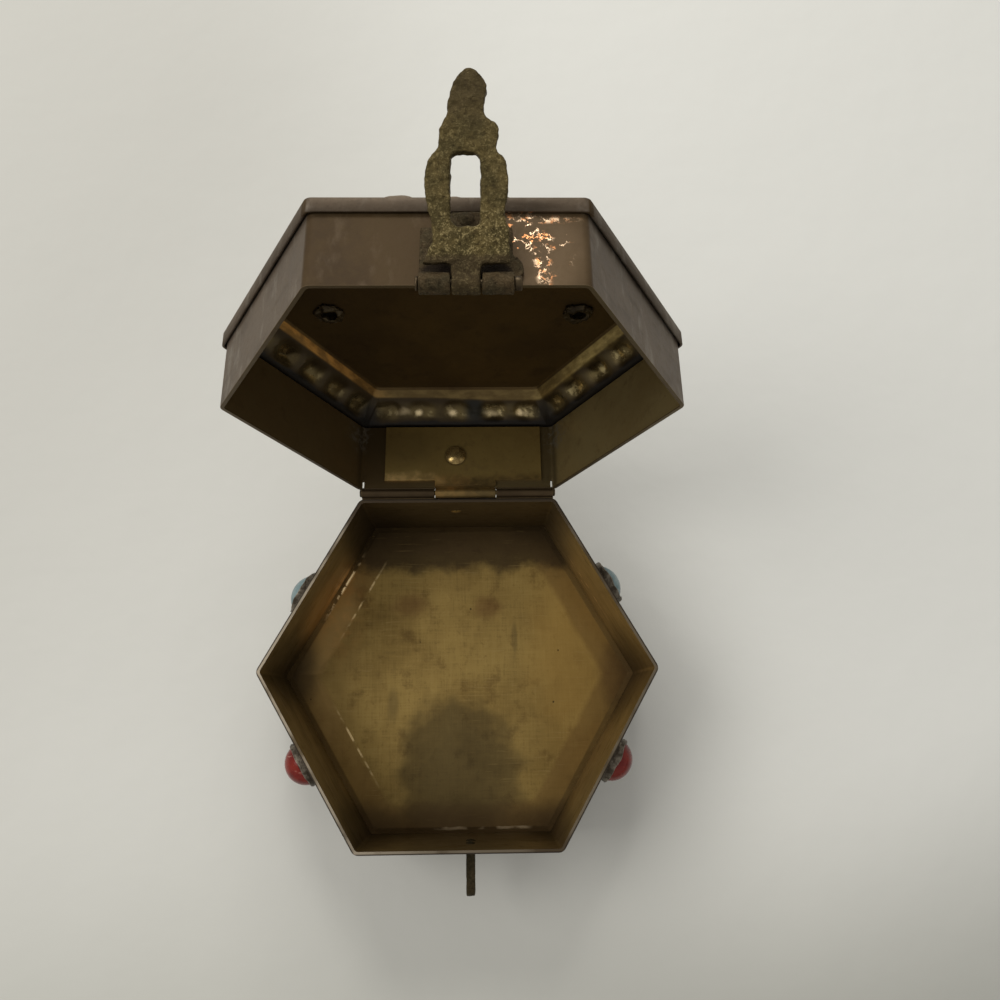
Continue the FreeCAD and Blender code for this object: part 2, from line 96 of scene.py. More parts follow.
# Shader arithmetic
class Value:
    """A shader socket that takes part in Python arithmetic."""

    def __init__(self, finish, socket):
        self.finish = finish
        self.socket = socket

    def math(self, operation, first, second):
        return self.finish.node("Math", {"operation": operation}, {0: first, 1: second})

    def __add__(self, other):
        return self.math("ADD", self, other)

    __radd__ = __add__

    def __sub__(self, other):
        return self.math("SUBTRACT", self, other)

    def __rsub__(self, other):
        return self.math("SUBTRACT", other, self)

    def __mul__(self, other):
        return self.math("MULTIPLY", self, other)

    __rmul__ = __mul__

    def __abs__(self):
        return self.finish.node("Math", {"operation": "ABSOLUTE"}, {0: self})

    def higher(self, other):
        """The higher of two values at each place."""
        return self.math("MAXIMUM", self, other)


def highest(values):
    """The highest of several values at each place."""
    top, *others = values
    for value in others:
        top = top.higher(value)
    return top


class Finish:
    """One procedural material, and the calls that build its nodes."""

    def __init__(self, name):
        self.material = bpy.data.materials.new(name)
        self.material.use_nodes = True
        self.tree = self.material.node_tree
        self.tree.nodes.clear()
        self.place = self.node("TexCoord", {}, {}, "Object")

    def node(self, kind, settings, sockets, out=0):
        """Adds a node, sets it up, fills its sockets and gives one of its outputs."""
        made = self.tree.nodes.new("ShaderNode" + kind)
        for key, value in settings.items():
            setattr(made, key, value)
        for key, value in sockets.items():
            socket = made.inputs[key]
            if isinstance(value, Value):
                self.tree.links.new(value.socket, socket)
            elif socket.type == "RGBA" and len(value) == 3:
                socket.default_value = (*value, 1)
            else:
                socket.default_value = value
        return Value(self, made.outputs[out]) if made.outputs else None

    def use_lid_places(self):
        """Patterns then read the lid's places as they are with the lid shut."""
        self.place = self.node("Mapping", {}, {"Vector": self.place, "Location": shut_shift,
                                               "Rotation": (open_turn, 0, 0)})

    def axis(self, name):
        """The place along X, Y or Z."""
        return self.node("SeparateXYZ", {}, {0: self.place}, name)

    def over_rim(self):
        """Height over the rim of the box, where the rim of the shut lid lies too."""
        return self.axis("Z") - rim_z

    def noise(self, size, detail=3.0, roughness=0.55, stretch=(1, 1, 1), turn=(0, 0, 0)):
        """Noise from 0 to 1 whose features are about one size across."""
        where = self.place
        if stretch != (1, 1, 1) or turn != (0, 0, 0):
            where = self.node("Mapping", {}, {"Vector": where, "Rotation": turn, "Scale": stretch})
        return self.node("TexNoise", {}, {"Vector": where, "Scale": 1 / size, "Detail": detail,
                                          "Roughness": roughness}, "Fac")

    def strayed(self, value, reach, size, detail=4, roughness=0.55):
        """A value that noise moves either way, by at most half of the reach."""
        return value + (self.noise(size, detail, roughness) - 0.5) * reach

    def step(self, value, low, high):
        """Smooth rise from 0 at low to 1 at high; low may be the larger."""
        if low < high:
            rise = {"From Min": low, "From Max": high, "To Min": 0, "To Max": 1}
        else:
            rise = {"From Min": high, "From Max": low, "To Min": 1, "To Max": 0}
        return self.node("MapRange", {"interpolation_type": "SMOOTHSTEP"},
                         {"Value": value, **rise})

    def pits(self, size, radius):
        """Small round pits scattered over the surface, 1 at each middle."""
        away = self.node("TexVoronoi", {"feature": "F1"},
                         {"Vector": self.place, "Scale": 1 / size, "Randomness": 1.0}, "Distance")
        return self.step(away, radius / size, 0.4 * radius / size)

    def blob(self, centre, reach, soft=0.3, wander=0.35, size=9 * MM):
        """Patch about a place, 1 inside and 0 outside, with a wandering edge."""
        away = self.node("VectorMath", {"operation": "SUBTRACT"}, {0: self.place, 1: centre})
        away = self.node("VectorMath", {"operation": "DIVIDE"}, {0: away, 1: reach})
        away = self.node("VectorMath", {"operation": "LENGTH"}, {0: away}, "Value")
        return self.step(self.strayed(away, 2 * wander, size), 1 + soft, 1 - soft)

    def mix(self, factor, first, second):
        """The first colour where the factor is 0, the second where it is 1."""
        return self.node("Mix", {"data_type": "RGBA"}, {0: factor, 6: first, 7: second}, 2)

    def coats(self, colour, *coats):
        """Lays coats over a colour one by one; each is a mask and a tone."""
        for mask, tone in coats:
            colour = self.mix(mask, colour, tone)
        return colour

    def wear(self):
        """1 on the softened edges of a piece."""
        return self.node("Attribute", {"attribute_name": "wear"}, {}, "Fac")

    def surface(self, colour, roughness, metallic, height, depth, **fixed):
        """Ends the material with a Principled shader; height is a relief of that depth."""
        sockets = {"Base Color": colour, "Roughness": roughness, "Metallic": metallic,
                   "Normal": self.node("Bump", {}, {"Strength": 1.0, "Distance": depth,
                                                    "Height": height})}
        for name, value in fixed.items():
            sockets[name.replace("_", " ").title().replace("Ior", "IOR")] = value
        shader = self.node("BsdfPrincipled", {}, sockets)
        self.node("OutputMaterial", {}, {"Surface": shader})
        return self.material


# Patterns that several finishes share
def sheet_relief(f):
    """Gentle dents of hand-beaten sheet with a fine grain over them."""
    return f.noise(14 * MM, 2) * 1.6 + f.noise(4 * MM, 2) * 0.35 + f.noise(0.7 * MM, 3) * 0.10


def scratches(f):
    """Fine short scratches in three directions, 1 on a scratch."""
    lines = highest([f.step(f.noise(1.5 * MM, 2, stretch=(0.10, 2.2, 1), turn=(0, 0, turn)),
                            0.66, 0.71) for turn in (0.3, 1.35, 2.5)])
    return lines * f.step(f.noise(11 * MM, 2), 0.45, 0.65)


def brushed(f):
    """Very fine lines left by cleaning, along and across the box."""
    along = f.noise(0.55 * MM, 2, 0.6, stretch=(1, 0.06, 1))
    across = f.noise(0.55 * MM, 2, 0.6, stretch=(0.06, 1, 1))
    return (along + across) * 0.5


def brass_colour(f, clean, tarnish, brown):
    """Clean brass that goes to tarnish in clouds and to brown in smaller stains."""
    clouds = f.step(f.noise(22 * MM, 5, 0.6), 0.36, 0.66)
    stains = f.step(f.noise(7 * MM, 6, 0.65), 0.52, 0.72)
    specks = f.step(f.noise(1.3 * MM, 3), 0.58, 0.75)
    colour = f.coats(clean, (clouds, tarnish), (stains * 0.6, brown), (specks * 0.3, brown))
    return colour, clouds, stains


def hexagon_reach(f):
    """Distance from the middle of the box towards its nearest wall."""
    across, along = f.axis("X"), f.axis("Y")
    return highest([abs(across * math.cos(turn) + along * math.sin(turn)) for turn in wall_turns])


# The floor of the box
def floor_clouds(f, border, back, smoke):
    """Large patches: gold at the right, partly a painted glow; a darker border; rosy at the left; smoke in front;
    painted shade at the back and in the corners.
    """
    # The gold at the right is partly a painted glow
    gold = f.blob(mm(36, 5), mm(13, 24, FAR), 0.6, 0.4)
    smudges = highest([f.blob(mm(-16, 22), mm(5, 3.5, FAR), 0.6, 0.6, 4 * MM),
                       f.blob(mm(8.4, 21), mm(4, 3, FAR), 0.6, 0.6, 4 * MM)])
    rosy = f.blob(mm(-40, 9), mm(8, 24, FAR), 0.5, 0.5, 6 * MM)
    core = f.blob(mm(-0.6, -31), mm(13, 15, FAR), 0.5, 0.5, 6 * MM)
    # Painted shade in the corners of the floor
    corners = 1 - f.blob(mm(0, 0), mm(50.5, 50.5, FAR), 0.10, 0.12)
    return ((gold * 0.5, (0.440, 0.270, 0.066)),
            (smudges * 0.5, (0.130, 0.055, 0.016)),
            (border * 0.60, (0.175, 0.098, 0.026)),
            (rosy * (0.20 + border * 0.45), (0.420, 0.270, 0.090)),
            (smoke * 0.62, (0.088, 0.063, 0.024)),
            (core * 0.32, (0.050, 0.036, 0.014)),
            # Painted shade at the back, then in the corners
            (back * 0.86, (0.048, 0.029, 0.010)),
            (corners * 0.7, (0.034, 0.020, 0.007)))


def floor_marks(f, near):
    """Two long marks, painted shade in the left corner, the brown right corner and painted shade in front."""
    marks = highest([f.blob(mm(-21, -9), mm(1.6, 5, FAR), 0.5, 0.5, 5 * MM),
                     f.blob(mm(17, 11), mm(0.8, 5, FAR), 0.5, 0.6, 4 * MM)])
    # Painted shade in the left corner
    left = f.blob(mm(-52, 2), mm(8, 10, FAR), 0.5, 0.4, 6 * MM)
    right = f.blob(mm(50, -1), mm(6, 9, FAR), 0.5, 0.5, 6 * MM)
    return ((marks * 0.35, (0.080, 0.056, 0.022)),
            (left * 0.6, (0.036, 0.024, 0.012)),
            (right * 0.45, (0.080, 0.036, 0.014)),
            # Painted shade in front
            (near * 0.72, (0.070, 0.040, 0.013)))


def panel_glint(f, reach):
    """Thin broken painted highlight on the edge of the pressed panel, in two places at the left."""
    line = f.step(abs(reach - panel_edge), 0.40 * MM, 0.12 * MM)
    where = highest([f.blob(mm(-30, 23), mm(7, 11, FAR), 0.8, 0.4, 4 * MM),
                     f.blob(mm(-31, -19), mm(8, 10, FAR), 0.8, 0.4, 4 * MM)])
    return line * where * f.step(f.noise(2.4 * MM, 3), 0.36, 0.60)


def seam_glints(f, reach):
    """Painted highlights on the seam with the wall: dashes at the left back, and a broken line in front."""
    seam = f.step(abs(f.strayed(reach, 0.8 * MM, 4 * MM, 3) - solder_foot), 0.55 * MM, 0.20 * MM)
    left = f.blob(mm(-37, 28), mm(6, 9, FAR), 0.8, 0.2) * f.step(f.noise(3 * MM, 3), 0.44, 0.54)
    front = f.step(f.axis("Y"), -44 * MM, -45 * MM) * f.step(f.noise(7 * MM, 3), 0.44, 0.58)
    front = front * f.step(f.axis("X"), -10 * MM, -7 * MM) * f.step(f.axis("X"), 22 * MM, 19 * MM)
    return seam * left, seam * front


def box_floor():
    """Worn brass, brushed by cleaning, with stains and scratches; painted light on its folds and seam, a painted
    glow at the left back, and painted shade at the back, in the corners and in front.
    """
    f = Finish("box floor brass")
    colour, clouds, stains = brass_colour(f, (0.345, 0.232, 0.066), (0.255, 0.166, 0.045),
                                          (0.135, 0.076, 0.019))
    reach = hexagon_reach(f)
    border = f.step(f.strayed(reach, 2.5 * MM, 6 * MM), panel_edge - 1.0 * MM,
                    panel_edge + 1.2 * MM)
    # Painted shade at the back of the floor
    back = f.step(f.strayed(f.axis("Y"), 13 * MM, 9 * MM, 5, 0.6), 30.5 * MM, 36 * MM)
    # Painted shade in front
    near = f.step(f.strayed(f.axis("Y"), 7 * MM, 9 * MM), -36 * MM, -43 * MM)
    smoke = f.blob(mm(-0.6, -29), mm(19, 21, FAR), 0.22, 0.40, 8 * MM)
    solder = f.step(reach, solder_foot - 0.6 * MM, solder_foot)
    # A painted warm glow at the left back
    warm = f.blob(mm(-38, 23), mm(7, 15, FAR), 0.6, 0.3, 6 * MM)
    warm = warm * f.step(f.noise(3 * MM, 4), 0.40, 0.62)
    # Painted highlights on the panel's edge and on the seam
    fold = panel_glint(f, reach)
    dashes, front = seam_glints(f, reach)
    lines = scratches(f)
    grain = brushed(f)
    pits = f.pits(9 * MM, 0.45 * MM)
    colour = f.coats(colour,
                     (f.step(grain, 0.52, 0.66) * 0.16, (0.470, 0.340, 0.120)),
                     (f.step(grain, 0.48, 0.36) * 0.20, (0.085, 0.052, 0.016)),
                     *floor_clouds(f, border, back, smoke),
                     (lines * 0.22, (0.420, 0.300, 0.110)),
                     (pits * 0.85, (0.020, 0.013, 0.005)),
                     (fold * 0.75, (0.900, 0.680, 0.340)),
                     *floor_marks(f, near),
                     (solder * (1 - back) * 0.5, (0.130, 0.082, 0.028)),
                     # Painted shade on the solder in front
                     (solder * near * 0.6, (0.070, 0.040, 0.013)),
                     (warm * 0.22, (0.600, 0.300, 0.085)),
                     (dashes, (1.000, 0.780, 0.420)),
                     (front * 0.6, (0.460, 0.360, 0.220)))
    rough = 0.40 + clouds * 0.10 + stains * 0.10 + smoke * 0.12 - lines * 0.06
    rough = rough - fold * 0.15 + solder * 0.40 - dashes * 0.5
    height = sheet_relief(f) - lines * 0.06 - pits * 0.5 + grain * 0.15
    return f.surface(colour, rough, 0.72, height, 0.12 * MM)


# The inside of the box wall
def wall_glints(f):
    """Painted highlights: two wavy levels of light on the wall at the right back."""
    glow = f.blob(mm(38, 25, 12), mm(7, 12, 16), 0.5, 0.4, 6 * MM)
    wavy = f.strayed(f.axis("Z"), 7 * MM, 9 * MM, 3)
    levels = highest([f.step(abs(wavy - 15 * MM), 0.9 * MM, 0.2 * MM),
                      f.step(abs(wavy - 10 * MM), 0.5 * MM, 0.1 * MM)])
    return levels * glow * f.step(f.noise(3 * MM, 3), 0.42, 0.60)


def box_rim(f, back):
    """Dark rim, rubbed pale in stretches and most at the left, with painted shade on its edge towards the outside.
    """
    rim = f.step(f.over_rim(), -0.5 * MM, -0.1 * MM)
    rubbed = 0.22 + f.step(f.axis("X"), 5 * MM, -30 * MM) * 0.48
    rubbed = rubbed * f.step(f.noise(14 * MM, 3), 0.38, 0.58)
    rubbed = rubbed * f.step(f.axis("Y"), 44 * MM, 38 * MM)
    # Painted shade on the rim's edge towards the outside of the wall
    outer_edge_shade = f.step(hexagon_reach(f), apothem - 0.45 * MM, apothem - 0.20 * MM)
    return ((rim * 0.8, (0.060, 0.044, 0.028)),
            (rim * rubbed, (0.420, 0.360, 0.270)),
            (f.wear() * rubbed * 0.6, (0.600, 0.500, 0.360)),
            (f.wear() * rim * back * 0.55, (0.300, 0.250, 0.190)),
            (outer_edge_shade * 0.9, (0.020, 0.014, 0.009)))


def box_inside():
    """Brass streaked along the wall, with painted shade in the corners, at the back and at the front, painted
    light low on the wall, and a painted glow and highlights at the left back.
    """
    f = Finish("box inside brass")
    colour, clouds, stains = brass_colour(f, (0.310, 0.222, 0.092), (0.215, 0.150, 0.060),
                                          (0.095, 0.060, 0.024))
    # Painted light low on the wall
    low = f.step(f.strayed(f.axis("Z"), 10 * MM, 7 * MM), 14 * MM, 2 * MM)
    # Painted shade on the back wall and on the front wall
    back = f.step(f.axis("Y"), 36 * MM, 46 * MM)
    front = f.step(f.axis("Y"), -42 * MM, -46 * MM)
    # Painted shade in the corners
    shaded_corner_places = ((mm(-50, 4, 12), mm(12, 11, 34)), (mm(49, -3, 14), mm(10, 13, 30)),
                    (mm(-30, -44, 10), mm(12, 8, 34)), (mm(30, -44, 10), mm(10, 8, 30)),
                    (mm(-28, 44, 10), mm(14, 9, 44)))
    corners = highest([f.blob(centre, reach, 0.5) for centre, reach in shaded_corner_places])
    level = f.noise(1.3 * MM, 3, 0.6, stretch=(0.07, 0.07, 1))
    # Painted highlights at the right back; a painted glow and painted highlights at the left back
    glints = wall_glints(f)
    warm = f.blob(mm(-41, 23, 8), mm(8, 16, 18), 0.6, 0.3, 6 * MM)
    hot_highlight = f.blob(mm(-39, 28, 5), mm(6, 8, 5), 0.7, 0.3, 4 * MM) * f.step(level, 0.44, 0.60)
    colour = f.coats(colour,
                     (f.step(level, 0.52, 0.68) * 0.40, (0.460, 0.330, 0.150)),
                     (f.step(level, 0.46, 0.32) * 0.45, (0.100, 0.058, 0.022)),
                     (low * 0.45, (0.340, 0.240, 0.100)),
                     (back * 0.78, (0.076, 0.050, 0.020)),
                     (front * 0.55, (0.085, 0.052, 0.018)),
                     (corners * 0.72, (0.036, 0.022, 0.008)),
                     (glints * 0.7, (0.950, 0.680, 0.360)),
                     (warm * 0.50, (0.740, 0.420, 0.130)),
                     (hot_highlight * 0.6, (1.000, 0.600, 0.220)),
                     *box_rim(f, back))
    rough = 0.36 + clouds * 0.12 + stains * 0.12 + back * 0.08 - glints * 0.1
    height = sheet_relief(f) - scratches(f) * 0.06 + level * 0.15
    return f.surface(colour, rough, 0.75, height, 0.16 * MM)


# The outside of the box and of the lid
def patina(f):
    """Grey to mauve-brown skin, with the clouds, rubs and grains that it is made of."""
    clouds = f.step(f.noise(17 * MM, 5, 0.6), 0.38, 0.64)
    fine = f.step(f.noise(2.2 * MM, 5, 0.7), 0.45, 0.7)
    streaks = f.step(f.noise(5 * MM, 4, stretch=(0.35, 0.35, 1.6)), 0.5, 0.75)
    rubs = f.step(f.noise(6 * MM, 5, 0.65, stretch=(1, 1, 0.45)), 0.52, 0.68)
    dust = f.step(f.noise(0.7 * MM, 3, 0.7), 0.50, 0.66)
    colour = f.coats((0.118, 0.089, 0.062),
                     (clouds, (0.098, 0.075, 0.054)),
                     (fine * 0.4, (0.155, 0.125, 0.092)),
                     (rubs * 0.50, (0.230, 0.200, 0.160)),
                     (streaks * 0.45, (0.056, 0.040, 0.025)),
                     (dust * 0.18, (0.045, 0.034, 0.024)))
    return colour, clouds, fine, rubs, sheet_relief(f) + fine * 0.12 + dust * 0.05


def patina_surface(f, colour, wear, bare, rough, metallic, height):
    """Ends a skin: brassy on worn edges, orange to pale where the metal is bare."""
    tint = f.mix(f.step(f.noise(2 * MM, 2), 0.42, 0.58), (0.62, 0.26, 0.10), (0.80, 0.58, 0.38))
    colour = f.coats(colour, (wear, (0.36, 0.26, 0.15)), (bare, tint))
    rough = rough - bare * 0.28 - wear * 0.15
    return f.surface(colour, rough, metallic, height, 0.14 * MM, specular_ior_level=0.15)


def box_outside():
    """The skin on the walls and the underside of the box."""
    f = Finish("box outside patina")
    colour, _, fine, _, height = patina(f)
    bare = f.step(f.noise(3 * MM, 6, 0.7), 0.55, 0.63) * 0.08
    return patina_surface(f, colour, f.wear() * 0.35, bare, 0.52 + fine * 0.12,
                          0.40 + bare * 0.5, height)


def flaked_off(f):
    """Where the skin has come off the front of the lid, in flakes and along a net of lines."""
    net = f.step(abs(f.noise(4.5 * MM, 6, 0.66) - 0.5), 0.024, 0.006)
    net = net * f.step(f.noise(5 * MM, 2), 0.50, 0.56)
    flakes = f.step(f.noise(1.5 * MM, 5, 0.75), 0.525, 0.58)
    cluster = f.blob(on_lid_front(18.4, 6.0), mm(1.7, 4, 6.5), 0.5, 0.5, 3 * MM)
    edge = f.blob(on_lid_front(11.9, 14.5), mm(1.1, 4, 3.4), 0.5, 0.4, 3 * MM)
    top = f.blob(on_lid_front(18, 15.9), mm(6.5, 4, 0.9), 0.5, 0.5, 2 * MM)
    spread = f.blob(on_lid_front(17, 9), mm(6, 4, 8), 0.3, 0.4)
    flakes = flakes * highest([cluster, edge * 0.8, top * 0.7])
    return flakes.higher(net * spread.higher(edge))


def lid_outside():
    """The same skin, but browner and partly bare on the front wall of the lid, with a painted sheen lighter at its
    right.
    """
    f = Finish("lid outside patina")
    f.use_lid_places()
    colour, clouds, fine, rubs, height = patina(f)
    away = f.axis("Y") * -1
    front = f.step(away, 46.4 * MM, 47.2 * MM)
    wall = front * f.step(away, 48.5 * MM, 48.2 * MM)
    # Painted sheen, lighter towards the right of the front wall
    right = f.blob(on_lid_front(16, 9), mm(10, 4, 12), 0.5)
    brown = f.coats((0.058, 0.035, 0.013),
                    (clouds, (0.042, 0.025, 0.010)),
                    (fine * 0.35, (0.090, 0.062, 0.032)),
                    (rubs * 0.30, (0.130, 0.092, 0.054)))
    colour = f.coats(colour,
                     (front * 0.15 + wall * 0.80, brown),
                     (wall * right * 0.7, (0.145, 0.098, 0.054)))
    bare = flaked_off(f) * wall
    return patina_surface(f, colour, f.wear() * 0.25, bare, 0.52 + fine * 0.12 + wall * 0.12,
                          0.40 - wall * 0.18 + bare * 0.55, height)


# The inside of the lid
def lid_inside_surface(f, colour, rough, metallic):
    """Ends a finish of the inside of the lid."""
    return f.surface(colour, rough, metallic, sheet_relief(f), 0.16 * MM, specular_ior_level=0.2)


def lid_inside_wall():
    """Inside of the lid's wall, with painted shade: darker and browner at the left, and dark beside the hinge
    leaf.
    """
    f = Finish("lid inside wall")
    f.use_lid_places()
    colour, clouds, stains = brass_colour(f, (0.350, 0.268, 0.118), (0.262, 0.192, 0.080),
                                          (0.140, 0.092, 0.034))
    up = f.over_rim()
    # Painted shade at the left, and beside the hinge leaf
    left = f.step(f.axis("X"), 12 * MM, -22 * MM)
    middle = f.step(f.axis("Y"), 44 * MM, 46 * MM)
    back_rubs = []
    for x in (-27.6, 28):
        rub = f.blob(on_lid(x, 44, 16), mm(3, 5, 4.5), 0.5, 0.5, 4 * MM)
        rub = rub * f.step(f.noise(1.6 * MM, 4, 0.65), 0.46, 0.60)
        back_rubs.append((rub * 0.5, (0.250, 0.230, 0.190)))
    smears = f.blob(on_lid(-26, 38, 6), mm(9, 9, 6), 0.6, 0.6)
    colour = f.coats(colour,
                     (left * 0.72, (0.105, 0.062, 0.024)),
                     (middle * 0.6, (0.046, 0.034, 0.017)),
                     *back_rubs,
                     (smears * 0.4, (0.170, 0.105, 0.040)),
                     (f.step(up, 2.4 * MM, 0.4 * MM) * 0.2, (0.200, 0.150, 0.065)),
                     (f.step(up, 0.7 * MM, 0.4 * MM) * 0.8, (0.060, 0.040, 0.020)),
                     (f.wear() * 0.25, (0.300, 0.230, 0.130)))
    return lid_inside_surface(f, colour, 0.34 + clouds * 0.10 + stains * 0.10, 0.7)


def riser_light(f, up, lower):
    """Streaky painted light on the riser between the beads and the panel, orange at the left."""
    across = f.axis("X")
    riser = f.step(lower, 24.7 * MM, 25.4 * MM) * f.step(up, 27.8 * MM, 27.4 * MM)
    streak = f.step(f.noise(5 * MM, 4, 0.6, stretch=(1, 1, 2.5)), 0.36, 0.66)
    # Tones of the painted light, more orange at the left
    warm = f.mix(f.step(across, 5 * MM, -5 * MM), (0.50, 0.38, 0.14), (0.54, 0.27, 0.065))
    tone = f.mix(f.step(abs(across), 16 * MM, 34 * MM) * 0.8, (0.190, 0.132, 0.050), warm)
    return riser * (0.35 + streak * 0.60), tone


def bead_light(f, up, border, swell):
    """Dark border with painted light on its beads, more of it at the right, and painted shade at its foot, its
    back corners and in a blue-black patch.
    """
    wavy = f.strayed(up, 2.2 * MM, 8 * MM, 2)
    # Painted light on the beads, and painted glints on their tips
    lit = f.step(wavy, 21.2 * MM, 22.3 * MM) * f.step(wavy, 25.2 * MM, 23.6 * MM) * border
    gleam = f.step(f.noise(9 * MM, 2), 0.40, 0.60)
    right = f.step(f.axis("X"), -6 * MM, 22 * MM)
    tips = f.step(f.noise(2.2 * MM, 3, 0.6), 0.52, 0.62) * f.step(f.wear(), 0.35, 0.95)
    coats = [(border * 0.85, (0.036, 0.024, 0.010)),
             (lit * swell * (0.20 + gleam * 0.35 + right * 0.25), (0.250, 0.190, 0.080)),
             (lit * tips * (0.20 + right * 0.45), (0.620, 0.500, 0.250))]
    # Painted glints on the row of beads at the hinge: place along it, half width and brightness
    for x, wide, bright in ((-11, 0.9, 0.9), (-15.5, 1.8, 0.35), (-1.4, 1.2, 0.8),
                            (10, 2.2, 0.45), (17.9, 0.9, 1.0), (19.7, 0.9, 0.4)):
        spot = f.blob(on_lid(x, 43.3, 23), mm(wide, 3, 0.65), 0.7, 0.5, 1.6 * MM)
        coats.append((spot * border * bright, (0.950, 0.760, 0.440)))
    # Painted blue-black shade in the row of beads
    blue = f.blob(on_lid(4.9, 43, 23), mm(3, 6, 3), 0.5)
    coats.append((blue * border * 0.85, (0.016, 0.018, 0.017)))
    # Painted shade in the two back corners of the border
    for x in (-25.5, 25.5):
        fold = f.blob(on_lid(x, 44, 23), mm(3.4, 5, 3), 0.6)
        coats.append((fold * border * 0.85, (0.012, 0.010, 0.008)))
    # Painted shade along the foot of the beads
    foot = f.step(wavy, 21.4 * MM, 20.6 * MM)
    coats.append((foot * 0.85, (0.012, 0.011, 0.010)))
    return coats


def lid_inside_cap():
    """Underside of the lid's top: a plain brown panel, a riser with painted light, a beaded border, and painted
    shade in the tube openings.
    """
    f = Finish("lid inside cap")
    f.use_lid_places()
    colour, clouds, stains = brass_colour(f, (0.094, 0.060, 0.022), (0.066, 0.040, 0.015),
                                          (0.043, 0.025, 0.010))
    up = f.over_rim()
    lower = up - f.step(f.axis("X"), 12 * MM, -12 * MM) * (0.6 * MM)
    border = f.step(lower, 25.4 * MM, 24.7 * MM)
    swell = f.step(f.wear(), 0.05, 0.95) * 0.65 + 0.35
    matt = border * (1 - swell)
    # Painted shade in the openings of the tubes of the two cups
    holes = [f.blob(on_lid(x, tail_y, 28), mm(2, 2, FAR), 0.15, 0.05) for x in (-tail_x, tail_x)]
    colour = f.coats(colour, riser_light(f, up, lower), *bead_light(f, up, border, swell),
                     *[(hole, (0.006, 0.004, 0.002)) for hole in holes])
    rough = 0.34 + clouds * 0.10 + stains * 0.10 - border * 0.12 + matt * 0.25
    return lid_inside_surface(f, colour, rough, 0.7 - matt * 0.55)


# The hinge leaves
def leaf_surface(f, colour, clouds, stains):
    """Ends the finish of a hinge leaf, lighter on its worn edges."""
    colour = f.mix(f.wear() * 0.3, colour, (0.320, 0.220, 0.090))
    rough = 0.36 + clouds * 0.10 + stains * 0.12
    return f.surface(colour, rough, 0.75, sheet_relief(f), 0.10 * MM)


def lid_leaf_brass():
    """Rolled brass, dark round the rivet, with painted shade at the upper left, rubbed low under a painted glow at
    the left, and dull on the knuckle.
    """
    f = Finish("lid leaf brass")
    f.use_lid_places()
    colour, clouds, stains = brass_colour(f, (0.400, 0.285, 0.092), (0.290, 0.200, 0.062),
                                          (0.150, 0.092, 0.028))
    across, up = f.axis("X"), f.over_rim()
    ring = f.blob(on_lid(-0.5, 45.9, 10.2), mm(3.2, FAR, 3.2), 0.1, 0.1)
    shade = f.blob(on_lid(-15, 45.9, 13), mm(9, FAR, 6), 0.6, 0.5)
    # Painted glow over the worn brass low at the left
    left = f.blob(on_lid(-15, 45.9, 3), mm(9, FAR, 1.9), 0.5, 0.7, 3 * MM)
    rubbed = f.step(f.strayed(up, 5 * MM, 7 * MM), 5.0 * MM, 2.5 * MM)
    glow = f.step(f.noise(3.5 * MM, 5, 0.65), 0.40, 0.60) * f.step(across, 7 * MM, 1 * MM)
    dull = f.step(f.noise(2.4 * MM, 4, 0.65), 0.36, 0.60) * 0.35
    dull = dull + f.step(across, -3 * MM, 5 * MM) * 0.40
    knuckle = f.step(up, 1.8 * MM, 0.6 * MM)
    colour = f.coats(colour,
                     (ring * 0.5, (0.060, 0.036, 0.012)),
                     (shade * 0.35, (0.120, 0.078, 0.026)),
                     (rubbed * (0.15 + glow * 0.45), (0.600, 0.330, 0.100)),
                     (rubbed * (0.10 + dull), (0.105, 0.072, 0.026)),
                     (knuckle * 0.45, (0.085, 0.058, 0.022)),
                     (left * (0.25 + glow * 0.5), (0.850, 0.600, 0.240)))
    return leaf_surface(f, colour, clouds, stains)


def box_leaf_brass():
    """Rolled brass, dark brown on the outside of the box."""
    f = Finish("box leaf brass")
    return leaf_surface(f, *brass_colour(f, (0.070, 0.045, 0.020), (0.048, 0.030, 0.013),
                                         (0.026, 0.016, 0.007)))


# Castings
def casting(f, deep, middle, patch):
    """Rough sand-cast brass with dark hollows: its colour, high spots, roughness and relief."""
    grain = f.noise(0.38 * MM, 4, 0.7)
    lumps = f.noise(0.95 * MM, 5, 0.7)
    patches = f.step(f.noise(5 * MM, 5, 0.6), 0.40, 0.62)
    high = f.step(lumps * 0.45 + grain * 0.55, 0.50, 0.60)
    colour = f.coats(middle, (patches, patch), (f.step(lumps, 0.48, 0.34) * 0.65, deep))
    return colour, high, 0.58 - high * 0.12 + patches * 0.08, lumps * 0.9 + grain * 0.7


def cast_surface(f, colour, rough, height):
    """Ends the finish of a casting."""
    return f.surface(colour, rough, 0.6, height, 0.34 * MM, specular_ior_level=0.15)


def arm_brass():
    """The arm is rubbed most near its foot, and dark at its tip and on its knuckle."""
    f = Finish("hasp arm brass")
    colour, high, rough, height = casting(f, (0.026, 0.018, 0.007), (0.108, 0.080, 0.030),
                                          (0.074, 0.057, 0.022))
    f.use_lid_places()
    up = f.strayed(f.over_rim(), 6 * MM, 4 * MM)
    foot = f.step(up, 13 * MM, 5 * MM)
    tip = f.step(up, 22 * MM, 27 * MM)
    knuckle = f.step(f.over_rim(), 3.4 * MM, 2.2 * MM)
    colour = f.coats(colour,
                     (high * (0.30 + foot * 0.55), (0.310, 0.245, 0.112)),
                     (tip * 0.65, (0.058, 0.042, 0.020)),
                     (knuckle * 0.7, (0.045, 0.030, 0.016)))
    return cast_surface(f, colour, rough, height)


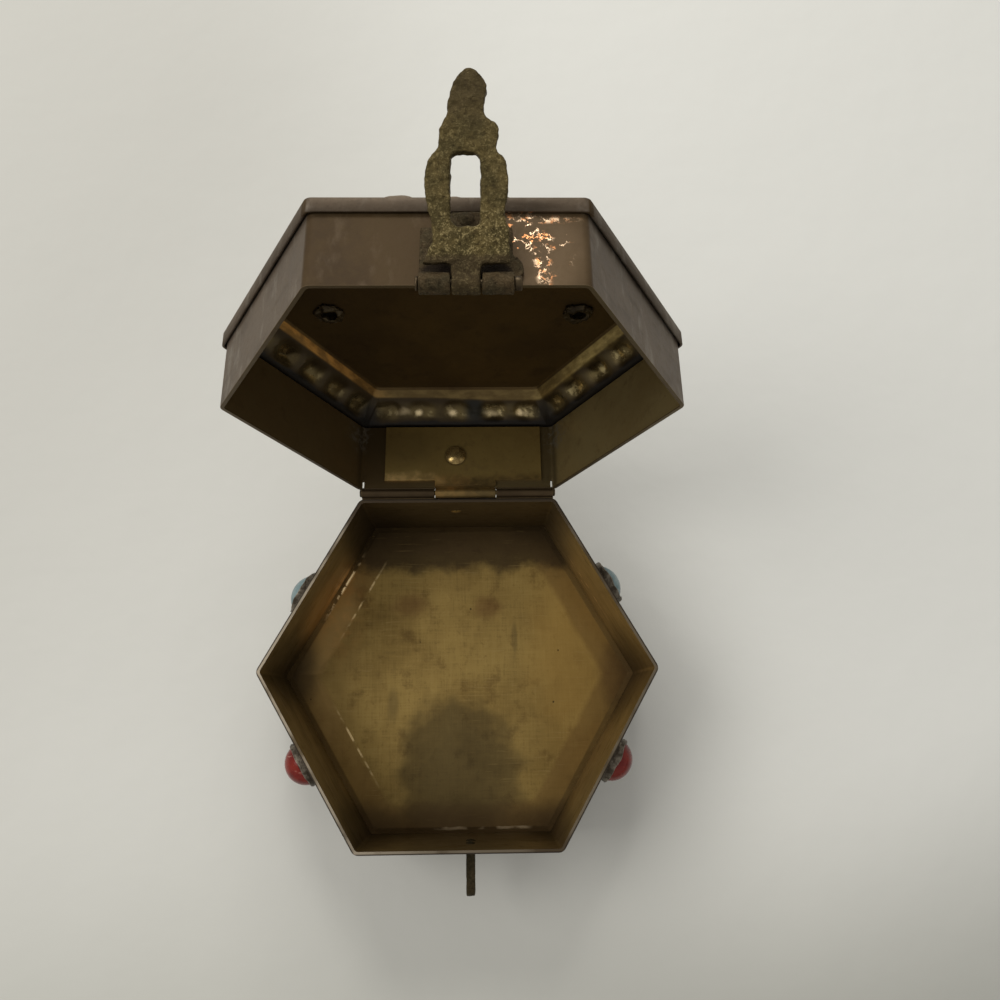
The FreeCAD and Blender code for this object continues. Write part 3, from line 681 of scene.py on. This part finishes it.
def hasp_leaf_brass():
    """The leaf of the hasp, with painted shade, nearly black, in the two recesses behind the arm's knuckle."""
    f = Finish("hasp leaf brass")
    colour, high, rough, height = casting(f, (0.018, 0.012, 0.006), (0.068, 0.046, 0.022),
                                          (0.052, 0.040, 0.020))
    f.use_lid_places()
    # Painted shade in the two recesses
    recesses = [f.blob(on_lid_front(hasp_x + side, 2.6), mm(3.1, FAR, 1.9), 0.25, 0.1)
                for side in (-5.6, 5.6)]
    colour = f.coats(colour, (high * 0.42, (0.125, 0.094, 0.052)),
                     *[(recess * 0.85, (0.010, 0.006, 0.004)) for recess in recesses])
    return cast_surface(f, colour, rough, height)


def staple_brass():
    """The staple is the darkest of the castings."""
    f = Finish("staple brass")
    colour, high, rough, height = casting(f, (0.016, 0.012, 0.006), (0.046, 0.034, 0.016),
                                          (0.034, 0.028, 0.014))
    return cast_surface(f, f.mix(high * 0.42, colour, (0.085, 0.064, 0.034)), rough, height)


# Small pieces
def plain_metal(name, colour, dark, rough=0.42):
    """Small turned and hammered pieces: rivets, pins and the tubes of the lid's cups."""
    f = Finish(name)
    clouds = f.step(f.noise(2.6 * MM, 4, 0.6), 0.4, 0.65)
    fine = f.noise(0.5 * MM, 3)
    rubbed = [min(1.0, 1.6 * c) for c in colour]
    tone = f.coats(colour, (clouds, dark), (f.wear() * 0.4, rubbed))
    return f.surface(tone, rough + clouds * 0.12, 0.75, clouds * 0.3 + fine * 0.3, 0.08 * MM)


def cup_brass():
    """Hammered cups, dark in the hollows and rubbed pale on the lips."""
    f = Finish("cup brass")
    clouds = f.step(f.noise(2.2 * MM, 4, 0.65), 0.40, 0.64)
    fine = f.noise(0.5 * MM, 3)
    colour = f.coats((0.070, 0.054, 0.036), (clouds, (0.220, 0.190, 0.145)),
                     (f.wear() * 0.4, (0.340, 0.300, 0.240)))
    return f.surface(colour, 0.42 - clouds * 0.10, 0.7, clouds * 0.4 + fine * 0.3, 0.10 * MM)


def polished_stone(name, main, pale, vein):
    """Domed stone with clouds, a few pale veins and a wet shine."""
    f = Finish(name)
    clouds = f.step(f.noise(4 * MM, 5, 0.6), 0.35, 0.65)
    veins = f.step(f.noise(3 * MM, 6, 0.7, stretch=(1, 2.2, 1)), 0.60, 0.68)
    specks = f.pits(2.1 * MM, 0.28 * MM)
    colour = f.coats(main, (clouds, pale), (veins * 0.5, vein),
                     (specks * 0.5, [0.3 * c for c in main]))
    height = f.noise(1.6 * MM, 3) - specks * 0.6
    return f.surface(colour, 0.14 + clouds * 0.08, 0.0, height, 0.04 * MM,
                     specular_ior_level=0.22)


finishes = {
    "box_floor": box_floor(),
    "box_inside": box_inside(),
    "box_outside": box_outside(),
    "lid_outside": lid_outside(),
    "lid_inside_wall": lid_inside_wall(),
    "lid_inside_cap": lid_inside_cap(),
    "lid_leaf": lid_leaf_brass(),
    "box_leaf": box_leaf_brass(),
    "arm": arm_brass(),
    "hasp_leaf": hasp_leaf_brass(),
    "staple": staple_brass(),
    "pin": plain_metal("pin brass", (0.065, 0.045, 0.022), (0.036, 0.024, 0.012)),
    "rivet": plain_metal("rivet brass", (0.42, 0.30, 0.115), (0.20, 0.13, 0.045), 0.20),
    "cup": cup_brass(),
    "lid_tail": plain_metal("lid setting brass", (0.060, 0.042, 0.018),
                            (0.026, 0.017, 0.007), 0.4),
    "coral": polished_stone("coral", (0.120, 0.008, 0.006), (0.190, 0.018, 0.010),
                            (0.520, 0.280, 0.210)),
    "turquoise": polished_stone("turquoise", (0.085, 0.150, 0.165), (0.190, 0.260, 0.265),
                                (0.34, 0.38, 0.36)),
}


# Pieces: faces within flat_angle become one, edges over edge_angle are rounded, and what is
# left over crease_angle is shaded as a crease
weld_distance = 0.002 * MM
flat_angle = math.radians(0.6)
edge_angle = math.radians(32)
crease_angle = math.radians(42)


def merged(node):
    """A bmesh of a CAD node with its loose triangles joined and its flats made whole."""
    bm = bmesh.new()
    bm.from_mesh(frame["nodes"][node].data)
    bmesh.ops.remove_doubles(bm, verts=bm.verts, dist=weld_distance)
    bmesh.ops.dissolve_limit(bm, angle_limit=flat_angle, verts=bm.verts, edges=bm.edges)
    return bm


def body_of(node):
    """The moving body that a CAD node belongs to."""
    for body, nodes in frame["record"]["behaviour"]["bodies"].items():
        if node in nodes:
            return body


def finished(bm, name, node, materials):
    """Makes the object of a piece, and lets it stand for its CAD node."""
    mesh = bpy.data.meshes.new(name)
    bm.to_mesh(mesh)
    bm.free()
    for material in materials:
        mesh.materials.append(finishes[material])
    mesh.shade_smooth()
    mesh.set_sharp_from_angle(angle=crease_angle)
    piece = bpy.data.objects.new(name, mesh)
    bpy.context.scene.collection.objects.link(piece)
    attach(piece, body_of(node))
    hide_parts(node)
    return piece


def even_shading(piece):
    """Keeps flats flat between their softened edges."""
    piece.modifiers.new("even shading", "WEIGHTED_NORMAL").keep_sharp = True


def against_wall(edge):
    """True for an edge that lies on the inside of the box wall."""
    reach = min(max(abs(vert.co.x * math.cos(turn) + vert.co.y * math.sin(turn))
                    for turn in wall_turns) for vert in edge.verts)
    return reach > wall_inside - 0.25 * MM


def rounded(bm, edges, width, segments, clamp=False):
    """Rounds edges and gives the faces that this makes."""
    return bmesh.ops.bevel(bm, geom=edges, offset=width, offset_type="OFFSET", segments=segments,
                           profile=0.5, affect="EDGES", material=-1, clamp_overlap=clamp)["faces"]


def soften(bm, width, leave=None):
    """Rounds every sharp edge, except what leave keeps, and marks the new faces as worn."""
    wear = bm.loops.layers.float.new("wear")
    sharp = [edge for edge in bm.edges
             if len(edge.link_faces) == 2 and edge.calc_face_angle(0) > edge_angle
             and not (leave and leave(edge))]
    for face in rounded(bm, sharp, width, 2, clamp=True):
        for loop in face.loops:
            loop[wear] = 1.0


def softened(node, width, materials, inside=None, leave=None):
    """A CAD node with rounded edges. inside tells which faces take the second material."""
    bm = merged(node)
    if inside:
        for face in bm.faces:
            face.material_index = 1 if inside(face) else 0
    soften(bm, width, leave)
    even_shading(finished(bm, node + "_softened", node, materials))


def faces_inside(centre, rim):
    """Tells the faces that look at the middle of the box or the lid, or lie on its rim."""
    def test(face):
        inwards = face.normal.dot(centre - face.calc_center_median()) > 0.3 * MM
        return inwards or face.normal.dot(rim) > 0.9
    return test


up = Vector((0, 0, 1))
lid_up = shut_turn.inverted() @ up
box_middle = Vector((0, 0, rim_z * 0.55))
lid_middle = shut.inverted() @ on_lid(0, 0, 12)
sheet_round = 0.16 * MM
small_round = 0.12 * MM
floor_round = 0.5 * MM

softened("box_wall", sheet_round, ["box_outside", "box_inside"], faces_inside(box_middle, up))
softened("lid_wall", sheet_round, ["lid_outside", "lid_inside_wall"],
         faces_inside(lid_middle, -lid_up))
softened("box_base", floor_round, ["box_outside", "box_floor"],
         lambda face: face.normal.z > 0.3, against_wall)
softened("box_hinge_leaf", small_round, ["box_leaf"])
softened("lid_hinge_leaf", small_round, ["lid_leaf"])
softened("hinge_pin", 0.2 * MM, ["pin"])
softened("hasp_pin", 0.25 * MM, ["pin"])


# Castings and hammered tubes: an even skin, roughened by waves of a height and a length
def shaken(bm, height, length, shift):
    """Moves each vertex along its normal by smooth noise."""
    bm.normal_update()
    for vert in bm.verts:
        where = vert.co / length + Vector((shift, 0, 0))
        vert.co += vert.normal * (noise.noise(where) * height)


def remeshed(node, voxel, smooth_steps, waves):
    """A CAD node remade as an even skin, relaxed, then roughened by waves."""
    bm = merged(node)
    mesh = bpy.data.meshes.new("skin")
    bm.to_mesh(mesh)
    bm.free()
    carrier = bpy.data.objects.new("skin", mesh)
    bpy.context.scene.collection.objects.link(carrier)
    remesh = carrier.modifiers.new("remesh", "REMESH")
    remesh.mode = "VOXEL"
    remesh.voxel_size = voxel
    graph = bpy.context.evaluated_depsgraph_get()
    skin = bpy.data.meshes.new_from_object(carrier.evaluated_get(graph))
    bpy.data.objects.remove(carrier)
    bm = bmesh.new()
    bm.from_mesh(skin)
    bm.loops.layers.float.new("wear")
    for _ in range(smooth_steps):
        bmesh.ops.smooth_vert(bm, verts=bm.verts, factor=0.5, use_axis_x=True, use_axis_y=True,
                              use_axis_z=True)
    for number, (height, length) in enumerate(waves):
        shaken(bm, height, length, 7.3 * number)
    return bm


def clear_of_wall(bm):
    """Keeps the back of a piece on the lid just in front of the wall that it lies on."""
    for vert in bm.verts:
        place = shut @ vert.co
        place.y = min(place.y, -apothem - 0.03 * MM)
        vert.co = shut.inverted() @ place
    return bm


arm_waves = [(0.26 * MM, 2.0 * MM), (0.14 * MM, 0.8 * MM)]
leaf_waves = [(0.12 * MM, 3.0 * MM), (0.06 * MM, 0.9 * MM)]
tail_waves = [(0.7 * MM, 2.6 * MM), (0.3 * MM, 1.1 * MM)]

arm_skin = remeshed("hasp_arm", voxel=0.28 * MM, smooth_steps=3, waves=arm_waves)
finished(arm_skin, "hasp_arm_casting", "hasp_arm", ["arm"])
staple_skin = remeshed("staple", voxel=0.22 * MM, smooth_steps=3, waves=leaf_waves)
finished(staple_skin, "staple_casting", "staple", ["staple"])
leaf_skin = clear_of_wall(remeshed("hasp_leaf", voxel=0.24 * MM, smooth_steps=2, waves=leaf_waves))
finished(leaf_skin, "hasp_leaf_casting", "hasp_leaf", ["hasp_leaf"])
for node in ("lid_setting_left", "lid_setting_right"):
    tail_skin = remeshed(node, voxel=0.2 * MM, smooth_steps=1, waves=tail_waves)
    finished(tail_skin, node + "_hammered", node, ["lid_tail"])


# The pressed top sheet of the lid: the folds of its outside, from the skirt to the panel, as
# distance from the middle of the lid and height over the rim when it is shut
skirt_low = Vector((48.63, 17.25)) * MM
skirt_high = Vector((48.63, 20.55)) * MM
slope_foot = Vector((46.53, 20.55)) * MM
slope_ridge = Vector((40.70, 25.90)) * MM
panel_fold = Vector((39.23, 28.85)) * MM
top_thickness = 0.6 * MM
corner_round = 0.95 * MM
fold_rounds = ((skirt_high.y, 0.3 * MM), (slope_foot.y, 0.5 * MM), (slope_ridge.y, 0.8 * MM),
               (panel_fold.y, 0.5 * MM))

# What tells its edges apart: corner edges are short and side edges long, a fold bends by more
# than fold_least, and the inner fold of the ledge by less than ledge_most, within ledge_reach
corner_longest = 9 * MM
side_shortest = 30 * MM
fold_least = math.radians(10)
ledge_most = math.radians(50)
ledge_reach = 48 * MM

# The beads: how they are spaced and shaped, and into how many strips the slope is cut for them
bead_pitch = 10.12 * MM
bead_half_height = 3.75 * MM
bead_half_length = 5.15 * MM
bead_rise = 1.25 * MM
beads_each_way = 2
dent_depth = 0.45 * MM
dent_length = 3.6 * MM
cuts_up = 17
cuts_along = 59


def drawn_up(folds):
    """A hexagonal sheet drawn up fold by fold and closed by a flat panel."""
    bm = bmesh.new()
    bmesh.ops.create_circle(bm, segments=6, radius=folds[0].x / math.cos(math.pi / 6))
    loop = list(bm.edges)
    bmesh.ops.rotate(bm, verts=bm.verts, matrix=Matrix.Rotation(math.radians(30), 3, "Z"))
    bmesh.ops.translate(bm, vec=(0, 0, folds[0].y), verts=bm.verts)
    for before, fold in zip(folds, folds[1:]):
        made = bmesh.ops.extrude_edge_only(bm, edges=loop)["geom"]
        verts = [item for item in made if isinstance(item, bmesh.types.BMVert)]
        loop = [item for item in made if isinstance(item, bmesh.types.BMEdge)
                and all(vert in verts for vert in item.verts)]
        bmesh.ops.scale(bm, vec=(fold.x / before.x, fold.x / before.x, 1), verts=verts)
        bmesh.ops.translate(bm, vec=(0, 0, fold.y - before.y), verts=verts)
    bmesh.ops.contextual_create(bm, geom=loop)
    return bm


def round_folds(bm):
    """Rounds the short edges at the six corners, then the folds from the skirt to the panel."""
    corners = [edge for edge in bm.edges if edge.calc_length() < corner_longest]
    rounded(bm, corners, corner_round, 5)
    for height, width in fold_rounds:
        at_fold = [edge for edge in bm.edges if len(edge.link_faces) == 2
                   and all(abs(vert.co.z - height) < 0.01 * MM for vert in edge.verts)
                   and edge.calc_face_angle(0) > fold_least]
        if height == slope_foot.y:
            # The ledge on the skirt is level: only its inner edge is rounded here
            at_fold = [edge for edge in at_fold
                       if max(abs(vert.co.y) for vert in edge.verts) < ledge_reach
                       and edge.calc_face_angle(0) < ledge_most]
        rounded(bm, at_fold, width, 3)


def bead_share(side, along, up):
    """1 in the middle of a bead and 0 outside it; along and up are taken on a sloping side."""
    number = round(along / bead_pitch)
    if abs(number) > beads_each_way:
        return 0
    spot = Vector((side * 3.1, number * 1.7, 0.4))
    centre = number * bead_pitch + noise.noise(spot) * 0.5 * MM
    straight = bead_half_length * (1 + 0.06 * noise.noise(spot * 2.3)) - bead_half_height
    off = max(abs(along - centre) - straight, 0)
    off = min(math.hypot(off, up) / bead_half_height, 1)
    return (1 - off ** 2.2) ** 1.25 * (1 + 0.25 * noise.noise(spot * 5.1))


def raise_beads(bm):
    """Cuts the slope finely and raises its beads; wear is their share, from 0 to 1."""
    slope = [edge for edge in bm.edges
             if slope_foot.y < min(vert.co.z for vert in edge.verts) < slope_foot.y + 1 * MM
             and slope_ridge.y - 1 * MM < max(vert.co.z for vert in edge.verts) < slope_ridge.y]
    bmesh.ops.subdivide_edges(bm, edges=slope, cuts=cuts_up)
    sides = [edge for edge in bm.edges if edge.calc_length() > side_shortest]
    bmesh.ops.subdivide_edges(bm, edges=sides, cuts=cuts_along)
    wear = bm.verts.layers.float.new("wear")
    middle = (slope_foot + slope_ridge) / 2
    rise = (slope_ridge - slope_foot).normalized()
    for vert in bm.verts:
        side = round((math.degrees(math.atan2(vert.co.y, vert.co.x)) - 30) / 60)
        turn = math.radians(30 + 60 * side)
        out = Vector((math.cos(turn), math.sin(turn), 0))
        spot = Vector((vert.co.dot(out), vert.co.z)) - middle
        if abs(spot.dot(Vector((-rise.y, rise.x)))) > 0.3 * MM:
            continue
        share = bead_share(side, vert.co.dot(Vector((-out.y, out.x, 0))), spot.dot(rise))
        vert[wear] = share
        dents = noise.noise(vert.co / dent_length) * dent_depth * min(1, 3 * share)
        vert.co += (out * rise.y - Vector((0, 0, rise.x))) * (share * bead_rise + dents)


def pressed_top():
    """The beaded top sheet, turned open with the lid and given its thickness."""
    bm = drawn_up([skirt_low, skirt_high, slope_foot, slope_ridge, panel_fold])
    round_folds(bm)
    raise_beads(bm)
    bmesh.ops.recalc_face_normals(bm, faces=bm.faces)
    bmesh.ops.translate(bm, vec=(0, 0, rim_z), verts=bm.verts)
    bmesh.ops.transform(bm, matrix=shut.inverted(), verts=bm.verts)
    piece = finished(bm, "lid_cap_pressed", "lid_cap", ["lid_outside", "lid_inside_cap"])
    wall = piece.modifiers.new("thickness", "SOLIDIFY")
    wall.thickness = top_thickness
    wall.offset = -1
    wall.use_even_offset = True
    wall.material_offset = 1


pressed_top()


# Cups on the box wall
lip_rise = 1.1 * MM
lip_wave = 2.4 * MM
cup_round = 0.1 * MM


def crimped_cup(node, outwards):
    """A cup whose lip is drawn up round its stone, a little unevenly."""
    bm = merged(node)
    bmesh.ops.subdivide_edges(bm, edges=[edge for edge in bm.edges
                                         if edge.calc_length() > 0.6 * MM], cuts=1)
    floor = min(vert.co.dot(outwards) for vert in bm.verts)
    lip = max(vert.co.dot(outwards) for vert in bm.verts)
    for vert in bm.verts:
        share = max(0, (vert.co.dot(outwards) - floor) / (lip - floor) * 2 - 1)
        wave = noise.noise(vert.co / lip_wave) * 0.6 + 0.8
        vert.co += outwards * (share * wave * lip_rise)
    soften(bm, cup_round)
    even_shading(finished(bm, node + "_crimped", node, ["cup"]))


for node in ("setting_front_left", "setting_front_right", "setting_rear_left",
             "setting_rear_right"):
    low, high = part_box(node)
    side = math.radians(30)
    crimped_cup(node, Vector((math.copysign(math.cos(side), low.x + high.x),
                              math.copysign(math.sin(side), low.y + high.y), 0)))

# Rivets and stones, by their finish
plain_finish = {"rivet": ["box_hinge_rivet", "lid_hinge_rivet"], "hasp_leaf": ["hasp_rivet"],
                "coral": ["coral_front_left", "coral_front_right", "lid_stone_left",
                          "lid_stone_right"],
                "turquoise": ["turquoise_rear_left", "turquoise_rear_right"]}
for finish, nodes in plain_finish.items():
    for node in nodes:
        softened(node, small_round, [finish])


# Stage, lights and camera
def pale_ground():
    """Pale ground with painted light and shade: darker in front and at the far left, paler at the right, and a
    painted shadow at the front right.
    """
    f = Finish("pale ground")
    across, along = f.axis("X"), f.axis("Y")
    # Painted falloff of the light: darker in front and at the far left, paler at the right
    front = f.step(along, -20 * MM, -160 * MM)
    left = f.step(across * -1 + along * 0.6, 60 * MM, 220 * MM)
    right = f.step(across + along * 0.5, 0 * MM, 160 * MM) * (1 - front)
    # Painted shadow at the front right
    near = f.step(across * 0.5 - along, 90 * MM, 190 * MM)
    colour = f.coats((0.620, 0.618, 0.575),
                     (front * 0.8, (0.380, 0.380, 0.330)),
                     (left * 0.6, (0.460, 0.453, 0.415)),
                     (right * 0.5, (0.720, 0.725, 0.690)),
                     (near * 0.6, (0.270, 0.270, 0.240)))
    return f.surface(colour, 0.85, 0.0, f.noise(25 * MM, 3), 0.6 * MM)


def stage_floor():
    """The ground that the box stands on."""
    bm = bmesh.new()
    bmesh.ops.create_grid(bm, x_segments=1, y_segments=1, size=2.5)
    mesh = bpy.data.meshes.new("floor")
    bm.to_mesh(mesh)
    bm.free()
    mesh.materials.append(pale_ground())
    floor = bpy.data.objects.new("floor", mesh)
    bpy.context.scene.collection.objects.link(floor)


def soft_lamp(name, place, aim, size, power, colour):
    """A round lamp at a place, turned towards its aim."""
    light = bpy.data.lights.new(name, "AREA")
    light.shape = "DISK"
    light.size = size
    light.energy = power
    light.color = colour
    lamp = bpy.data.objects.new(name, light)
    lamp.location = place
    lamp.rotation_euler = (Vector(aim) - Vector(place)).to_track_quat("-Z", "Y").to_euler()
    bpy.context.scene.collection.objects.link(lamp)


stage_floor()
world = bpy.data.worlds.new("studio")
bpy.context.scene.world = world
world.use_nodes = True
world.node_tree.nodes["Background"].inputs["Color"].default_value = (1.0, 0.98, 0.95, 1)
world.node_tree.nodes["Background"].inputs["Strength"].default_value = 0.50
soft_lamp("window", place=(-0.08, 0.85, 0.74), aim=(0, 0.03, 0.05), size=0.42, power=5.2,
          colour=(1.0, 0.98, 0.94))
soft_lamp("room", place=(-0.62, 0.12, 0.80), aim=(0, 0, 0.03), size=0.55, power=3.4,
          colour=(1.0, 0.98, 0.95))

# The camera looks down from over the middle of the box, and its turns are in degrees
camera_over_rim = 266
camera_turns = (12.354, -1.323, -0.699)
camera_data = bpy.data.cameras.new("camera")
camera_data.sensor_width = 36
camera_data.lens = 34.65
camera = bpy.data.objects.new("camera", camera_data)
camera.location = on_lid(5.1, -11.0, camera_over_rim)
camera.rotation_euler = Euler([math.radians(turn) for turn in camera_turns], "XYZ")
bpy.context.scene.collection.objects.link(camera)
bpy.context.scene.camera = camera
bpy.context.scene.view_settings.view_transform = "Standard"

bpy.context.view_layer.update()
